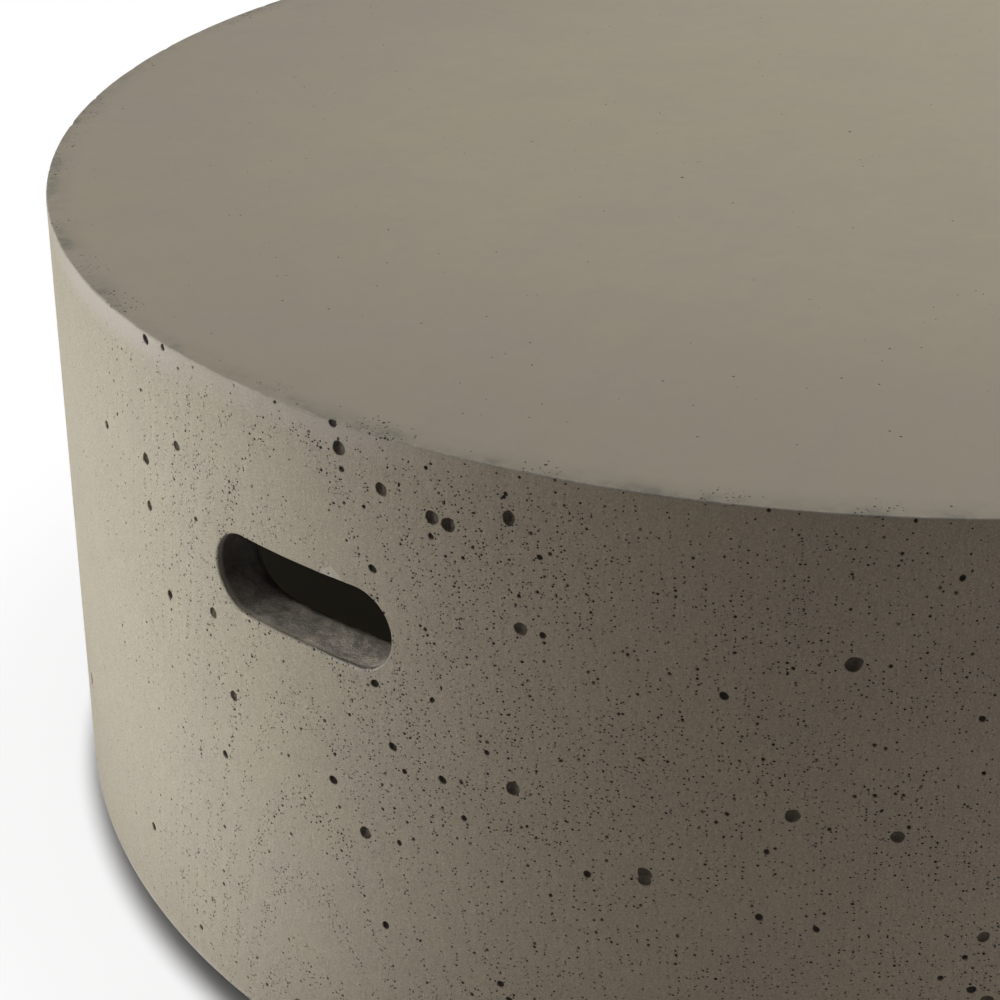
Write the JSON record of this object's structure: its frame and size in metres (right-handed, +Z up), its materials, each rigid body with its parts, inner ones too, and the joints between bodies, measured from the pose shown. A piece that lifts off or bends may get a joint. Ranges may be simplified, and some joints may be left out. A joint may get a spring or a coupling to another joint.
{
  "type": "concrete coffee table",
  "caption": "Low round patio table: a hollow tapered concrete drum with a smooth top, pitted wall, two obround hand holes and levelling feet.",
  "frame": {"origin": "on the floor under the drum's axis, at the level of the soles", "axes": "+Z up along the drum's axis; the hand holes are on +X and -X; the feet are at 45 degrees between the axes"},
  "size_m": [0.82, 0.8198, 0.318],
  "materials": {
    "concrete": "cast grey-beige concrete, matte, smooth top and pitted wall",
    "zinc_steel": "zinc-plated steel, satin",
    "nylon": "black moulded nylon, matte",
    "sole_rubber": "black rubber, matte"
  },
  "bodies": {
    "table": {"drum": "concrete", "insert_1": "zinc_steel", "insert_2": "zinc_steel", "insert_3": "zinc_steel", "insert_4": "zinc_steel"},
    "foot_1": {"glide_1": "nylon", "sole_1": "sole_rubber"},
    "foot_2": {"glide_2": "nylon", "sole_2": "sole_rubber"},
    "foot_3": {"glide_3": "nylon", "sole_3": "sole_rubber"},
    "foot_4": {"glide_4": "nylon", "sole_4": "sole_rubber"},
    "screw_1": {"stud_1": "zinc_steel"},
    "screw_2": {"stud_2": "zinc_steel"},
    "screw_3": {"stud_3": "zinc_steel"},
    "screw_4": {"stud_4": "zinc_steel"}
  },
  "joints": [
    {"name": "foot_1_height", "type": "slide", "parent": "table", "child": "foot_1", "axis": [0, 0, -1], "range_m": [0, 0.01]},
    {"name": "foot_2_height", "type": "slide", "parent": "table", "child": "foot_2", "axis": [0, 0, -1], "range_m": [0, 0.01]},
    {"name": "foot_3_height", "type": "slide", "parent": "table", "child": "foot_3", "axis": [0, 0, -1], "range_m": [0, 0.01]},
    {"name": "foot_4_height", "type": "slide", "parent": "table", "child": "foot_4", "axis": [0, 0, -1], "range_m": [0, 0.01]},
    {"name": "screw_1_turn", "type": "hinge", "parent": "foot_1", "child": "screw_1", "pos_m": [0.26595, 0.26595, 0], "axis": [0, 0, -1], "range_deg": [0, 2880]},
    {"name": "screw_2_turn", "type": "hinge", "parent": "foot_2", "child": "screw_2", "pos_m": [-0.26595, 0.26595, 0], "axis": [0, 0, -1], "range_deg": [0, 2880]},
    {"name": "screw_3_turn", "type": "hinge", "parent": "foot_3", "child": "screw_3", "pos_m": [-0.26595, -0.26595, 0], "axis": [0, 0, -1], "range_deg": [0, 2880]},
    {"name": "screw_4_turn", "type": "hinge", "parent": "foot_4", "child": "screw_4", "pos_m": [0.26595, -0.26595, 0], "axis": [0, 0, -1], "range_deg": [0, 2880]}
  ],
  "couplings": [
    {"joint": "foot_1_height", "follows": "screw_1_turn", "m_per_rad": 0.00019894},
    {"joint": "foot_2_height", "follows": "screw_2_turn", "m_per_rad": 0.00019894},
    {"joint": "foot_3_height", "follows": "screw_3_turn", "m_per_rad": 0.00019894},
    {"joint": "foot_4_height", "follows": "screw_4_turn", "m_per_rad": 0.00019894}
  ]
}
